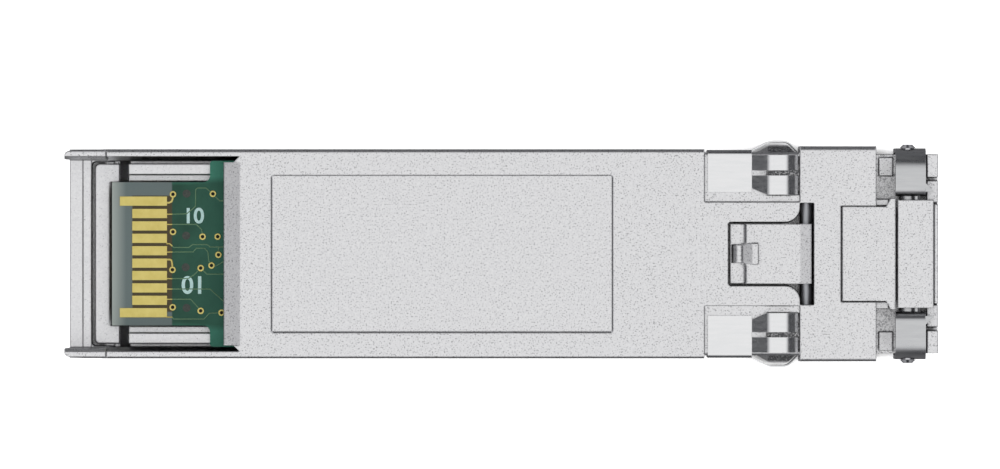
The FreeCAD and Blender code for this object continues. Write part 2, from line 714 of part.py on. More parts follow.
# Top cover: channel with the shoulder, lugs and rails at the host end
cover = new_body("top_cover")
cover_rear = rear + shoulder_setback
cover_front = nose_start - part_gap
prism(cover, "channel", "YZ_Plane", [
    (-body_half, cover_wall_top), (-body_half, cover_face, body_rounding),
    (body_half, cover_face, body_rounding), (body_half, cover_wall_top),
    (cover_inner, cover_wall_top), (cover_inner, cover_floor),
    (-cover_inner, cover_floor), (-cover_inner, cover_wall_top)], cover_rear, cover_front)
for side, hand in ((1, "left"), (-1, "right")):
    prism(cover, f"wall_chamfer_{hand}", "YZ_Plane", [
        (cover_inner * side, cover_wall_top), (cover_inner * side, cover_wall_top - cover_chamfer_drop),
        ((cover_inner + cover_chamfer) * side, cover_wall_top)],
        skirt_start, face_start + mouth_bevel, cut=True)
shoulder_top = board_far - shoulder_drop
step_x = cover_rear + shoulder_length
ledge_x = step_x + ledge_length
groove_x = ledge_x + groove_length
rib_x = groove_x + rib_length
stop_x = rib_x + stop_length
rib_top = shoulder_top - shoulder_step * 2
groove_end = cover_inner - groove_end_wall
rib_end = groove_end - groove_end_width
stop_inner = tongue_half + seat_gap
prism(cover, "shoulder", "XZ_Plane", [
    (cover_rear, cover_floor), (cover_rear, shoulder_top), (step_x, shoulder_top),
    (step_x, shoulder_top - shoulder_step), (ledge_x, shoulder_top - shoulder_step),
    (ledge_x, rib_top), (rib_x, rib_top, rib_rounding), (rib_x, cover_floor)],
    -cover_inner, cover_inner)
for side, hand in ((1, "left"), (-1, "right")):
    prism(cover, f"stop_{hand}", "XY_Plane", rectangle(
        groove_x, stop_x, stop_inner * side, rib_end * side), cover_floor, rib_top)
prism(cover, "groove", "XY_Plane", [
    (ledge_x, -groove_end, groove_rounding), (stop_x, -groove_end), (stop_x, -rib_end),
    (groove_x, -rib_end, groove_rounding), (groove_x, rib_end, groove_rounding), (stop_x, rib_end),
    (stop_x, groove_end), (ledge_x, groove_end, groove_rounding)],
    shoulder_top - groove_depth, shoulder_top, cut=True)
rail_start = rear + rail_setback
for side, hand in ((1, "left"), (-1, "right")):
    prism(cover, f"stop_ramp_{hand}", "XZ_Plane", [
        (stop_x - part_gap, cover_floor), (rail_start + part_gap, cover_floor),
        (stop_x - part_gap, cover_floor + stop_ramp)],
        stop_inner * side, cover_inner * side)
lug_front = skirt_start - part_gap
lug_top = face - lug_recess
rail_inner = tongue_half + rail_gap
rail_outer = rail_inner + rail_width
foot_top = board_far - rail_foot_drop
lug_inside = body_half - lug_wall
for side, hand in ((1, "left"), (-1, "right")):
    lug_outer = body_half * side
    prism(cover, f"rear_lug_{hand}", "XY_Plane", [
        (rear, (body_half - lug_taper) * side, lug_rounding), (lug_front, lug_outer),
        (lug_front, lug_inside * side), (rear, lug_inside * side)],
        cover_face + body_rounding, lug_top)
    prism(cover, f"lug_edge_{hand}", "YZ_Plane", [
        (lug_outer, lug_top - lug_edge), (lug_outer, lug_top), ((body_half - lug_edge) * side, lug_top)],
        rear, lug_front, cut=True)
    prism(cover, f"lug_chamfer_{hand}", "YZ_Plane", [
        (lug_inside * side, lug_top - lug_chamfer_drop), (lug_inside * side, lug_top),
        ((lug_inside + lug_chamfer) * side, lug_top)], rear, lug_front, cut=True)
    prism(cover, f"rail_{hand}", "YZ_Plane", [
        ((rail_inner - rail_foot) * side, cover_floor), ((rail_inner - rail_foot) * side, foot_top),
        (rail_inner * side, foot_top), (rail_inner * side, board_far - seat_gap),
        (rail_outer * side, board_far - seat_gap), (rail_outer * side, cover_floor)],
        rail_start, board_end - rail_end_gap)
pedestal_x = board_end - pedestal_setback
pad_top = board_far - driver_height - seat_gap * 2
pad_under = pad_top - pad_thickness
prism(cover, "pedestal", "XY_Plane", rectangle(
    pedestal_x, pedestal_x + pedestal_length, -pedestal_width / 2, pedestal_width / 2),
    cover_floor, pad_under - seat_gap)
for side, hand in ((1, "left"), (-1, "right")):
    prism(cover, f"collar_side_{hand}", "XY_Plane", rectangle(
        band_start, nose_start, band_half * side, nose_half * side), cover_face, split, cut=True)
collar_under = cover_face + collar_inset
band_floor = collar_under + collar_sheet + collar_floor_gap
prism(cover, "collar_floor", "XY_Plane", rectangle(
    band_start, nose_start, -nose_half, nose_half), cover_face, band_floor, cut=True)
for side, hand in ((1, "left"), (-1, "right")):
    prism(cover, f"collar_corner_{hand}", "YZ_Plane", [
        (band_half * side, band_floor + collar_corner), (band_half * side, band_floor),
        ((band_half - collar_corner) * side, band_floor)], band_start, nose_start, cut=True)

# Circuit board: connector tongue between two ears, and its gold contact fingers
board = new_body("circuit_board")
board_half = board_width / 2
board_start = rear + board_setback
ear_x = face_start - board_ear_length
prism(board, "board", "XY_Plane", [
    (board_start, -tongue_half), (ear_x, -tongue_half, board_rounding),
    (ear_x, -board_half, board_ear_rounding), (board_end, -board_half), (board_end, board_half),
    (ear_x, board_half, board_ear_rounding), (ear_x, tongue_half, board_rounding),
    (board_start, tongue_half)], board_far, board_near)
finger_count = 10
long_near = (0, 9)
long_far = (0, 3, 6, 9)
for label, long_ones, offset, level in (
        ("contact_fingers_near", long_near, -finger_offset, board_near),
        ("contact_fingers_far", long_far, finger_offset, board_far - finger_thickness)):
    fingers = []
    for number in range(finger_count):
        setback = long_finger_setback if number in long_ones else short_finger_setback
        middle = offset + finger_pitch * ((finger_count - 1) / 2 - number)
        fingers.append(block(
            f"{label}_{number + 1}", (board_start + setback, board_start + finger_front),
            (middle - finger_width / 2, middle + finger_width / 2), (level, level + finger_thickness)))
    group(label, fingers)

# Latch rocker: pad, tongue and lock post behind the pin, arm and T-shaped plate before it
rocker = new_body("latch_rocker")
rocker_rear = cavity_start + rocker_side_gap
pad_end = rocker_rear + pad_length
arm_top = face - arm_drop
slope_x = cavity_end - tongue_slope_gap
prism(rocker, "spine", "XZ_Plane", [
    (rocker_rear, tongue_under), (rocker_rear, tongue_top - pad_drop), (pad_end, tongue_top - pad_drop),
    (pad_end, tongue_top, body_rounding), (nose_start, tongue_top, body_rounding),
    (slope_x, tongue_top - tongue_slope_drop), (slope_x, arm_top), (plate_start + plate_slant, arm_top),
    (plate_start + plate_slant, plate_under + part_gap), (bay_start, plate_under + part_gap),
    (bay_start - ear_length, arm_top - arm_thickness),
    (rocker_pin_x, arm_top - arm_thickness), (rocker_pin_x - rocker_hub_radius, tongue_under)],
    -rocker_half, rocker_half)
disc(rocker, "hub", "XZ_Plane", rocker_pin_x, rocker_pin_z, rocker_hub_radius, -rocker_half, rocker_half)
ear_half = plate_half + ear_width
ear_start = plate_end - ear_length
prism(rocker, "plate", "XY_Plane", [
    (plate_start, -plate_half), (ear_start - ear_flare, -plate_half), (ear_start, -ear_half),
    (plate_end, -ear_half), (plate_end, ear_half), (ear_start, ear_half),
    (ear_start - ear_flare, plate_half), (plate_start, plate_half)], plate_under, plate_top)
prism(rocker, "plate_slant", "XZ_Plane", [
    (plate_start, plate_under), (plate_start + plate_slant, plate_under), (plate_start, plate_top)],
    -plate_half, plate_half, cut=True)
for side, hand in ((1, "left"), (-1, "right")):
    prism(rocker, f"ear_{hand}", "XY_Plane", rectangle(
        ear_start, plate_end, (anvil_half + cam_side_gap) * side, ear_half * side),
        plate_top - ear_depth, plate_under)
post_top = face + lock_post_height
post_half = lock_post_width / 2
post_rear = lock_face - lock_post_length
prism(rocker, "lock_post", "XZ_Plane", [
    (post_rear, tongue_top - part_gap), (lock_face, tongue_top - part_gap), (lock_face, post_top),
    (lock_face - lock_post_flat, post_top), (post_rear + lock_post_lead, post_top - lock_post_ramp),
    (post_rear, tongue_top)], -post_half, post_half)
for side, hand in ((1, "left"), (-1, "right")):
    prism(rocker, f"post_draft_{hand}", "XY_Plane", [
        (post_rear, (post_half - lock_post_draft) * side), (lock_face - lock_post_flat, post_half * side),
        (post_rear, post_half * side)], tongue_top, post_top, cut=True)
rib_half = lock_rib_width / 2
lock_rib_top = tongue_top - lock_rib_drop
prism(rocker, "lock_rib", "XZ_Plane", [
    (rocker_rear + free_gap, tongue_under), (rocker_rear + free_gap, lock_rib_top, lock_rib_rounding),
    (pad_end, lock_rib_top), (pad_end, tongue_under)], -rib_half, rib_half)
disc(rocker, "pin_bore", "XZ_Plane", rocker_pin_x, rocker_pin_z, rocker_pin_radius + running_gap,
     -rocker_half, rocker_half, cut=True)

# Rocker pin, pressed in from one side of the nose
rocker_pin = new_body("rocker_pin")
disc(rocker_pin, "pin", "XZ_Plane", rocker_pin_x, rocker_pin_z, rocker_pin_radius,
     -rocker_pin_end + seat_gap, nose_half - free_gap)

# Leaf spring under the rocker's tongue
leaf = new_body("rocker_spring")
leaf_foot = rocker_pin_x - rocker_hub_radius - free_gap
leaf_knee = leaf_foot - spring_foot
leaf_crest = leaf_knee - spring_rise
leaf_low = cavity_floor + seat_gap
leaf_high = tongue_under - part_gap
prism(leaf, "leaf", "XZ_Plane", [
    (leaf_foot, leaf_low), (leaf_foot, leaf_low + spring_thickness),
    (leaf_knee, leaf_low + spring_thickness), (leaf_crest, leaf_high),
    (leaf_crest - spring_lip, leaf_high), (leaf_crest - spring_lip, leaf_high - spring_thickness),
    (leaf_crest, leaf_high - spring_thickness), (leaf_knee, leaf_low)],
    -spring_width / 2, spring_width / 2)

# Bail: one bent strap with an arch over each lug, side arms and a crossbar on the cover side
bail = new_body("bail")
bail_start = bail_x - bail_rear_reach
bail_end = bail_start + bail_width
bail_top = face - bail_drop
arm_inner = bail_half - bail_thickness
bar_under = bail_lift
bar_top = bail_lift + bail_crossbar
leg_under = bail_z - bail_leg_drop
web_under = bail_top - bail_thickness
outer_inside = bail_outer_bend - bail_thickness
inner_inside = bail_inner_bend - bail_thickness
prism(bail, "strap", "YZ_Plane", [
    (-bail_leg_inner, leg_under), (-bail_leg_inner, bail_top, bail_inner_bend),
    (-bail_half, bail_top, bail_outer_bend), (-bail_half, bar_under, bail_inner_bend),
    (bail_half, bar_under, bail_inner_bend), (bail_half, bail_top, bail_outer_bend),
    (bail_leg_inner, bail_top, bail_inner_bend), (bail_leg_inner, leg_under),
    (leg_outer, leg_under), (leg_outer, web_under, inner_inside),
    (arm_inner, web_under, outer_inside), (arm_inner, bar_top, inner_inside),
    (-arm_inner, bar_top, inner_inside), (-arm_inner, web_under, outer_inside),
    (-leg_outer, web_under, inner_inside), (-leg_outer, leg_under)], bail_start, bail_end)
cam_inner = anvil_half + cam_side_gap
lobe_along = cam_reach * math.sqrt(0.5)
lobe_across = cam_width / 2 * math.sqrt(0.5)
for side, hand in ((1, "left"), (-1, "right")):
    disc(bail, f"cam_hub_{hand}", "XZ_Plane", bail_x, bail_z, cam_radius, cam_inner * side, leg_outer * side)
    prism(bail, f"cam_lobe_{hand}", "XZ_Plane", [
        (bail_x - lobe_across, bail_z + lobe_across), (bail_x + lobe_across, bail_z - lobe_across),
        (bail_x + lobe_along + lobe_across, bail_z + lobe_along - lobe_across, cam_width / 2 * full_round),
        (bail_x + lobe_along - lobe_across, bail_z + lobe_along + lobe_across, cam_width / 2 * full_round)],
        cam_inner * side, leg_outer * side)
    flare_y = leg_outer + bail_flare_width
    prism(bail, f"flare_{hand}", "XY_Plane", [
        (bail_end - part_gap, leg_outer * side), (bail_end + bail_flare_reach, leg_outer * side),
        (bail_end, flare_y * side), (bail_end - part_gap, flare_y * side)], web_under, bail_top)
disc(bail, "pin_bore", "XZ_Plane", bail_x, bail_z, bail_pin_radius + running_gap,
     -bail_half, bail_half, cut=True)

# Bail pin with a domed head at each end
bail_pin = new_body("bail_pin")
head_y = bail_half + seat_gap
pin_end = head_y + bail_head_height
dome = bail_head_radius - bail_head_height
sketch = new_sketch(bail_pin, "pin", "XY_Plane", zero)
draw_outline(sketch, [
    (zero, -pin_end), (dome, -pin_end), (bail_head_radius, -head_y), (bail_pin_radius, -head_y),
    (bail_pin_radius, head_y), (bail_head_radius, head_y), (dome, pin_end), (zero, pin_end)])
spin = bail_pin.newObject("PartDesign::Revolution", "pin")
spin.Profile = sketch
spin.ReferenceAxis = (sketch, ["V_Axis"])
spin.Angle = 360
move_to(bail_pin, bail_x, zero, bail_z)

# Spring collar: a bent band with arched spring fingers on all four sides
collar = new_body("spring_collar")
plate_x = band_start + collar_setback
collar_face = window_floor + collar_floor_gap + collar_sheet
sheet_half = collar_half - collar_sheet
prism(collar, "band", "YZ_Plane", [
    (-collar_flap_inner, collar_face), (-collar_half, collar_face, collar_bend),
    (-collar_half, collar_under, collar_bend), (collar_half, collar_under, collar_bend),
    (collar_half, collar_face, collar_bend), (collar_flap_inner, collar_face),
    (collar_flap_inner, collar_face - collar_sheet),
    (sheet_half, collar_face - collar_sheet, collar_bend - collar_sheet),
    (sheet_half, collar_under + collar_sheet, collar_bend - collar_sheet),
    (-sheet_half, collar_under + collar_sheet, collar_bend - collar_sheet),
    (-sheet_half, collar_face - collar_sheet, collar_bend - collar_sheet),
    (-collar_flap_inner, collar_face - collar_sheet)], plate_x, finger_root)


def spring_finger(name, role, level, outward, rise, low, high):
    """One bowed finger: rises from the band's edge to a flat crest and falls to its tip."""
    top = level + rise * outward
    inside = collar_sheet * -outward
    prism(collar, name, role, [
        (finger_root - part_gap, level), (finger_root, level), (crest_start, top, spring_finger_bow),
        (crest_end, top, spring_finger_bow), (finger_tip, level), (finger_tip, level + inside),
        (crest_end, top + inside, spring_finger_bow - collar_sheet),
        (crest_start, top + inside, spring_finger_bow - collar_sheet),
        (finger_root, level + inside), (finger_root - part_gap, level + inside)], low, high)


cover_finger_count = 6
side_finger_count = 4
for side, hand in ((1, "left"), (-1, "right")):
    spring_finger(f"face_finger_outer_{hand}", "XZ_Plane", collar_face, 1, spring_finger_rise,
                  face_finger_outer * side, outer_edge * side)
    spring_finger(f"face_finger_inner_{hand}", "XZ_Plane", collar_face, 1, spring_finger_rise,
                  inner_edge * side, finger_side * side)
    prism(collar, f"finger_taper_{hand}", "XY_Plane", [
        (finger_root, finger_side * side), (finger_root + finger_taper_length, finger_side * side),
        (finger_root, (finger_side + finger_taper_width) * side)],
        collar_face - collar_sheet, collar_face + spring_finger_rise, cut=True)
    for number in range(side_finger_count):
        middle = port_z + side_finger_pitch * (number - (side_finger_count - 1) / 2)
        spring_finger(f"side_finger_{hand}_{number + 1}", "XY_Plane", collar_half * side, side,
                      spring_finger_rise, middle - side_finger_width / 2, middle + side_finger_width / 2)
for number in range(cover_finger_count):
    middle = zero + cover_finger_pitch * (number - (cover_finger_count - 1) / 2)
    spring_finger(f"cover_finger_{number + 1}", "XZ_Plane", collar_under, -1, collar_under,
                  middle - cover_finger_width / 2, middle + cover_finger_width / 2)

# Optical packages, their sleeves and flexible circuits
flange_end = bulkhead_rear - seat_gap
flange_back = flange_end - sleeve_flange_length
header_radius = can_radius + can_header_proud
for side, hand in ((1, "transmitter"), (-1, "receiver")):
    can = new_body(f"{hand}_can")
    turned(can, "can", [
        (can_back, zero), (can_back, header_radius), (can_back + can_header_length, header_radius),
        (can_back + can_header_length, can_radius), (can_front - can_shoulder, can_radius),
        (can_front, can_radius - can_shoulder), (can_front, zero)])
    move_to(can, zero, port_y * side, port_z)
    sleeve = new_body(f"{hand}_sleeve")
    bore_end = sleeve_tip - ferrule_depth
    turned(sleeve, "sleeve", [
        (sleeve_back, zero), (sleeve_back, sleeve_neck_radius), (flange_back, sleeve_neck_radius),
        (flange_back, sleeve_flange_radius), (flange_end, sleeve_flange_radius),
        (flange_end, sleeve_tip_radius), (sleeve_tip, sleeve_tip_radius), (sleeve_tip, ferrule_radius),
        (bore_end, ferrule_radius), (bore_end, zero)])
    move_to(sleeve, zero, port_y * side, port_z)
    flex = new_body(f"{hand}_flex")
    flex_back = can_back - seat_gap
    flex_top = board_far - seat_gap
    flex_low = flex_top - flex_drop
    prism(flex, "flex", "XZ_Plane", [
        (flex_back, flex_low), (flex_back, flex_top, flex_bend), (board_end - flex_lap, flex_top),
        (board_end - flex_lap, flex_top - flex_thickness),
        (flex_back - flex_thickness, flex_top - flex_thickness, flex_bend - flex_thickness),
        (flex_back - flex_thickness, flex_low)],
        port_y * side - flex_width / 2, port_y * side + flex_width / 2)

# Clamp yoke behind the sleeve flanges, slotted over both necks
clamp = new_body("can_clamp")
clamp_end = flange_back - seat_gap
clamp_half = cover_inner - free_gap
notch = sleeve_neck_radius + part_gap
clamp_top = cavity_floor - cavity_wall - part_gap
clamp_under = cover_floor + seat_gap
prism(clamp, "yoke", "YZ_Plane", rectangle(-clamp_half, clamp_half, clamp_under, clamp_top),
      clamp_end - clamp_length, clamp_end)
for side, hand in ((1, "left"), (-1, "right")):
    prism(clamp, f"notch_{hand}", "YZ_Plane", [
        (port_y * side - notch, clamp_under), (port_y * side + notch, clamp_under),
        (port_y * side + notch, port_z + notch, notch * full_round),
        (port_y * side - notch, port_z + notch, notch * full_round)],
        clamp_end - clamp_length, clamp_end, cut=True)

# Chips, capacitors and the thermal pad
driver_x = pedestal_x + pedestal_length / 2
amplifier_x = board_end - amplifier_setback
controller_x = rear + controller_setback


def chip(label, middle, side, low, high):
    piece = block(label, (middle - side / 2, middle + side / 2), (-(side / 2), side / 2), (low, high))
    nodes.append(piece)


chip("driver_chip", driver_x, driver_side, board_far - seat_gap - driver_height, board_far - seat_gap)
chip("amplifier_chip", amplifier_x, amplifier_side,
     board_far - seat_gap - controller_height, board_far - seat_gap)
chip("controller_chip", controller_x, controller_side,
     board_near + seat_gap, board_near + seat_gap + controller_height)
nodes.append(block("thermal_pad", (pedestal_x, pedestal_x + pedestal_length),
                   (-(pedestal_width / 2), pedestal_width / 2), (pad_under, pad_top)))
capacitor_rows = 6
capacitors = []
for side in (1, -1):
    for number in range(capacitor_rows):
        start = board_end - capacitor_setback + capacitor_pitch * number
        middle = capacitor_column * side
        capacitors.append(block(
            f"capacitor_{len(capacitors) + 1}", (start, start + capacitor_length),
            (middle - capacitor_width / 2, middle + capacitor_width / 2),
            (board_near + seat_gap, board_near + seat_gap + capacitor_height)))
group("small_capacitors", capacitors)

# Build, look for anything that failed, and write one file for each node
doc.recompute()
faults = [item.Name for item in doc.Objects if "Invalid" in item.State or "Error" in item.State]
for node in nodes:
    if node.Shape.isNull() or not node.Shape.isValid():
        faults.append(node.Label)
if faults:
    raise RuntimeError("failed pieces: " + ", ".join(faults))
os.makedirs("parts", exist_ok=True)
for node in nodes:
    node.Shape.exportStep(f"parts/{node.Label}.step")
    box = node.Shape.BoundBox
    print(node.Label, len(node.Shape.Solids), round(node.Shape.Volume, 3),
          [round(edge, 2) for edge in (box.XMin, box.XMax, box.YMin, box.YMax, box.ZMin, box.ZMax)])
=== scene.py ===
import bmesh
import bpy
import math
from mathutils import Matrix, Vector


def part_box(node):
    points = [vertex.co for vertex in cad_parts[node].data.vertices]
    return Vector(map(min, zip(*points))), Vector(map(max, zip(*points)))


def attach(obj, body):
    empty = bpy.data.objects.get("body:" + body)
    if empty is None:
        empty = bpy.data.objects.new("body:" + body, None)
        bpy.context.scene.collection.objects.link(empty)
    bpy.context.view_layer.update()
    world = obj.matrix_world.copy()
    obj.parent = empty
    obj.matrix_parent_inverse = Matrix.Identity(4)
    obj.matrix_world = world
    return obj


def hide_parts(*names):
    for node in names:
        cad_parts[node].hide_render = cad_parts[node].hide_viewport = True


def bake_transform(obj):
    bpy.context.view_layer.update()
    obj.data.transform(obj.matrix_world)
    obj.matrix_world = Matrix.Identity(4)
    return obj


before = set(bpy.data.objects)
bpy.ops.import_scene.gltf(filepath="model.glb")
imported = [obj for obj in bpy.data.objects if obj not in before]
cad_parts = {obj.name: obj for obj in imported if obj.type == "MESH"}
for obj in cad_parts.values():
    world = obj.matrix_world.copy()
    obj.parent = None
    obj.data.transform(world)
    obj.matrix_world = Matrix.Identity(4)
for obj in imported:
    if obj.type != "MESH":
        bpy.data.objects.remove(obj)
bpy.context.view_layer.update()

# A pluggable optical transceiver module lying on its cover, latch side up. The model is in metres,
# and the sizes below are written in millimetres.
MM = 0.001

# A mix node's colour sockets go by number, because its other kinds have sockets of the same names
COLOUR_A, COLOUR_B, COLOUR_OUT = 6, 7, 2

# Vertices nearer than this, in metres, are one
MERGE_DISTANCE = 1e-8


def linear(hex_colour):
    """An sRGB hex colour as the linear colour that a shader wants."""
    parts = [int(hex_colour[i:i + 2], 16) / 255 for i in (1, 3, 5)]
    return tuple(c / 12.92 if c <= 0.04045 else ((c + 0.055) / 1.055) ** 2.4 for c in parts) + (1.0,)


def set_inputs(tree, node, inputs):
    """Sets a node's inputs; each is a value, or another node's output socket."""
    for name, value in inputs.items():
        if isinstance(value, bpy.types.NodeSocket):
            tree.links.new(value, node.inputs[name])
        else:
            node.inputs[name].default_value = value


def add_node(tree, kind, inputs=None, **settings):
    """Adds a node with its settings and inputs."""
    node = tree.nodes.new(kind)
    for name, value in settings.items():
        setattr(node, name, value)
    set_inputs(tree, node, inputs or {})
    return node


def new_finish(name):
    """An empty material, with its tree, its shader and the piece's own coordinates in metres."""
    material = bpy.data.materials.new(name)
    material.use_nodes = True
    tree = material.node_tree
    shader = tree.nodes["Principled BSDF"]
    place = add_node(tree, "ShaderNodeTexCoord").outputs["Object"]
    return material, tree, shader, place


def per_mm(millimetres):
    """The texture scale that gives features of this size."""
    return 1 / (millimetres * MM)


def set_ramp(ramp, stops):
    """Sets a colour ramp's stops, each (place, hex colour)."""
    elements = ramp.color_ramp.elements
    while len(elements) < len(stops):
        elements.new(0.5)
    for element, (place, colour) in zip(elements, stops):
        element.position = place
        element.color = linear(colour)


def two_tone(tree, vector, size_mm, detail, low, high):
    """Noise with features of this size, and a colour that wanders with it between two tones."""
    noise = add_node(tree, "ShaderNodeTexNoise", {
        "Vector": vector, "Scale": per_mm(size_mm), "Detail": detail})
    tone = add_node(tree, "ShaderNodeValToRGB", {"Fac": noise.outputs["Fac"]})
    set_ramp(tone, ((0.3, low), (0.7, high)))
    return noise.outputs["Fac"], tone.outputs["Color"]


def die_cast_zinc():
    """Die-cast zinc, tumbled and left bare: an even pale grey with a fine grain and small dark pits,
    and painted shade in its gaps and wells.
    """
    material, tree, shader, place = new_finish("die_cast_zinc")
    grain, tone = two_tone(tree, place, 0.16, 3.0, "#DADADC", "#E6E6E7")
    pits = add_node(tree, "ShaderNodeTexNoise", {"Vector": place, "Scale": per_mm(0.095), "Detail": 2.0})
    parts = add_node(tree, "ShaderNodeSeparateXYZ", {"Vector": place})
    along, across, up = (parts.outputs[axis] for axis in "XYZ")
    off_middle = add_node(tree, "ShaderNodeMath", {0: across}, operation="ABSOLUTE").outputs[0]

    # A pit shows where its noise passes a threshold. Tumbling smooths the faces that it reaches; the skin
    # stays rough on the floors of the bay and the cavity. In the wells behind the fingers the pits are
    # denser and darker: rough skin, and painted shade
    inside_least, floor_least, face_least, well_least = 0.64, 0.49, 0.57, 0.4
    recess = add_node(tree, "ShaderNodeMapRange", {
        "Value": up, "From Min": 5.7 * MM, "From Max": 6.3 * MM,
        "To Min": inside_least, "To Max": floor_least})
    tumbled = add_node(tree, "ShaderNodeMapRange", {
        "Value": up, "From Min": 6.55 * MM, "From Max": 6.62 * MM,
        "To Min": recess.outputs["Result"], "To Max": face_least})
    in_painted_shade_well = 1.0
    for distance, middle, reach in ((along, 18.2, 1.02), (off_middle, 5.2, 1.7), (up, 7.4, 0.95)):
        near = add_node(tree, "ShaderNodeMath", {
            0: distance, 1: middle * MM, 2: reach * MM}, operation="COMPARE")
        in_painted_shade_well = add_node(tree, "ShaderNodeMath", {
            0: in_painted_shade_well, 1: near.outputs[0]}, operation="MULTIPLY").outputs[0]
    least = add_node(tree, "ShaderNodeMapRange", {
        "Value": in_painted_shade_well, "To Min": tumbled.outputs["Result"], "To Max": well_least}).outputs["Result"]
    most = add_node(tree, "ShaderNodeMath", {0: least, 1: 0.1}, operation="ADD")
    # Pits in the wells are drawn darker than elsewhere: painted shade
    pit_darkness_and_well_shade = add_node(tree, "ShaderNodeMapRange", {"Value": in_painted_shade_well, "To Min": 0.55, "To Max": 0.85})
    pit_share = add_node(tree, "ShaderNodeMapRange", {
        "Value": pits.outputs["Fac"], "From Min": least, "From Max": most.outputs[0],
        "To Min": 0.0, "To Max": pit_darkness_and_well_shade.outputs["Result"]})
    colour = add_node(tree, "ShaderNodeMix", {
        "Factor": pit_share.outputs["Result"], COLOUR_A: tone, COLOUR_B: linear("#4A4B4F")},
        data_type="RGBA")

    # Painted shade from ambient occlusion darkens the narrow gaps and grooves, but not the mouth by the
    # board
    mouth_middle, mouth_reach, mouth_end = -21.1, 4.4, 4.6
    off_mouth = add_node(tree, "ShaderNodeMath", {0: along, 1: mouth_middle * MM}, operation="SUBTRACT")
    from_mouth = add_node(tree, "ShaderNodeMath", {0: off_mouth.outputs[0]}, operation="ABSOLUTE")
    darkest_painted_shade = add_node(tree, "ShaderNodeMapRange", {
        "Value": from_mouth.outputs[0], "From Min": mouth_reach * MM, "From Max": mouth_end * MM,
        "To Min": 1.0, "To Max": 0.12})
    shelter = add_node(tree, "ShaderNodeAmbientOcclusion", {"Distance": 2.6 * MM}, samples=8)
    painted_shade_factor = add_node(tree, "ShaderNodeMapRange", {
        "Value": shelter.outputs["AO"], "From Min": 0.08, "From Max": 0.24,
        "To Min": darkest_painted_shade.outputs["Result"], "To Max": 1.0})
    shaded = add_node(tree, "ShaderNodeMix", {
        "Factor": 1.0, COLOUR_A: colour.outputs[COLOUR_OUT], COLOUR_B: painted_shade_factor.outputs["Result"]},
        data_type="RGBA", blend_type="MULTIPLY")

    # Cast edges are a little round
    rounded = add_node(tree, "ShaderNodeBevel", {"Radius": 0.13 * MM}, samples=8)
    dents = add_node(tree, "ShaderNodeBump", {
        "Height": grain, "Strength": 0.25, "Distance": 0.02 * MM, "Normal": rounded.outputs["Normal"]})
    set_inputs(tree, shader, {
        "Base Color": shaded.outputs[COLOUR_OUT], "Metallic": 1.0, "Roughness": 0.3,
        "Normal": dents.outputs["Normal"]})
    return material


def sheet_steel(name, low, high, smooth, dull):
    """Cold-rolled spring sheet, stamped and bent: bright and smooth, with the faintest rolling streaks."""
    material, tree, shader, place = new_finish(name)
    rolled = add_node(tree, "ShaderNodeMapping", {"Vector": place, "Scale": (0.12, 1.0, 1.0)})
    streaks, tone = two_tone(tree, rolled.outputs["Vector"], 0.2, 3.0, low, high)
    gloss = add_node(tree, "ShaderNodeMapRange", {"Value": streaks, "To Min": smooth, "To Max": dull})
    rounded = add_node(tree, "ShaderNodeBevel", {"Radius": 0.03 * MM}, samples=6)
    waves = add_node(tree, "ShaderNodeBump", {
        "Height": streaks, "Strength": 0.03, "Distance": 0.01 * MM, "Normal": rounded.outputs["Normal"]})
    set_inputs(tree, shader, {
        "Base Color": tone, "Metallic": 1.0, "Roughness": gloss.outputs["Result"],
        "Normal": waves.outputs["Normal"]})
    return material


def turned_steel(name, low, high, smooth, dull):
    """Turned steel: a smooth skin with a faint cloudiness from handling."""
    material, tree, shader, place = new_finish(name)
    cloud, tone = two_tone(tree, place, 0.8, 2.0, low, high)
    gloss = add_node(tree, "ShaderNodeMapRange", {"Value": cloud, "To Min": smooth, "To Max": dull})
    rounded = add_node(tree, "ShaderNodeBevel", {"Radius": 0.03 * MM}, samples=6)
    set_inputs(tree, shader, {
        "Base Color": tone, "Metallic": 1.0, "Roughness": gloss.outputs["Result"],
        "Normal": rounded.outputs["Normal"]})
    return material


